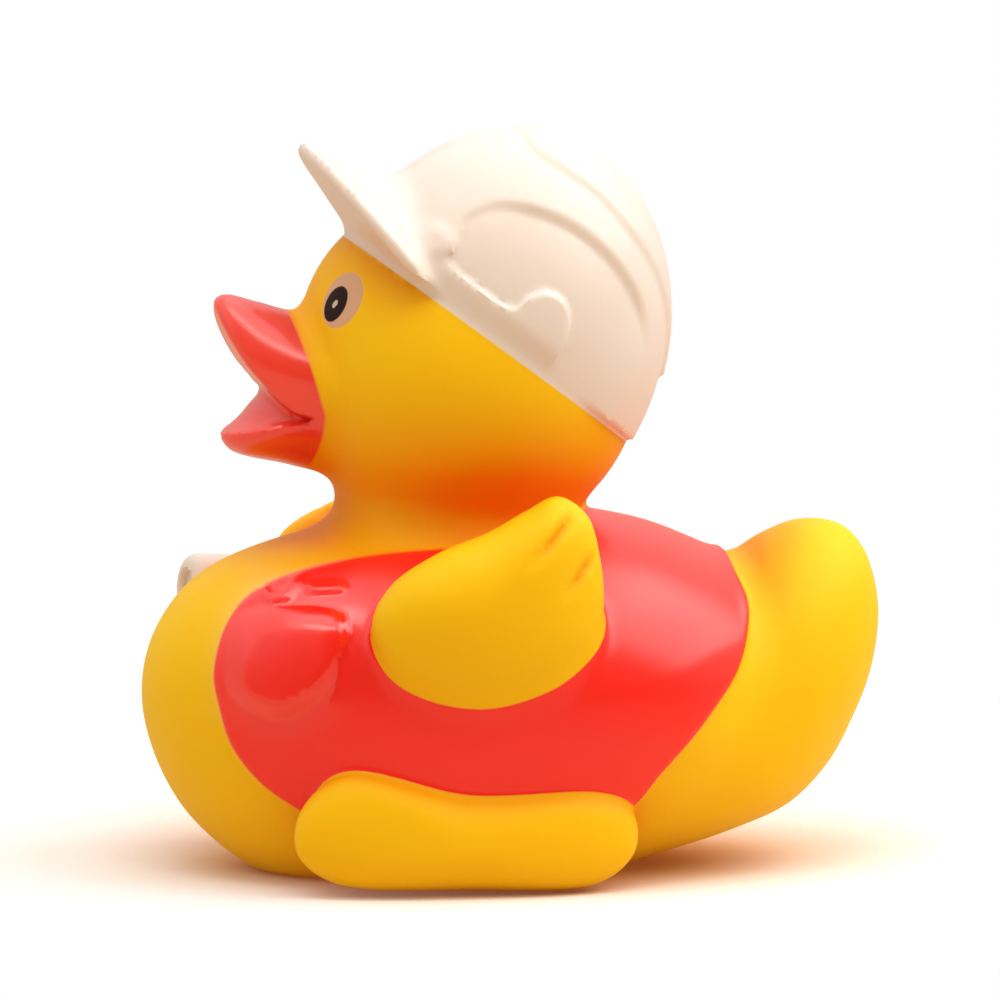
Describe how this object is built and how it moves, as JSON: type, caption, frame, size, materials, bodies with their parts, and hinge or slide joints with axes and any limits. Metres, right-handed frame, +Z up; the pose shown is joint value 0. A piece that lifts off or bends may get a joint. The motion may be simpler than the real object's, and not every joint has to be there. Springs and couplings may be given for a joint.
{
  "type": "rubber duck",
  "caption": "Hollow vinyl bath duck with an open bill, a moulded hard hat and vest, a raised wing, a roll under the other wing and a squeaker in its base.",
  "frame": {"origin": "on the ground under the middle of the duck's box", "axes": "+X the way the duck looks, +Y its left side, +Z up"},
  "size_m": [0.0858, 0.0654, 0.0855],
  "materials": {
    "vinyl": "matte yellow vinyl with gloss red and white spray paint",
    "squeaker_plastic": "milky moulded plastic",
    "squeaker_brass": "rolled strip"
  },
  "bodies": {
    "root": {"duck_body": "vinyl", "squeaker_housing": "squeaker_plastic", "squeaker_reed": "squeaker_brass", "squeaker_cap": "squeaker_plastic"}
  },
  "joints": []
}
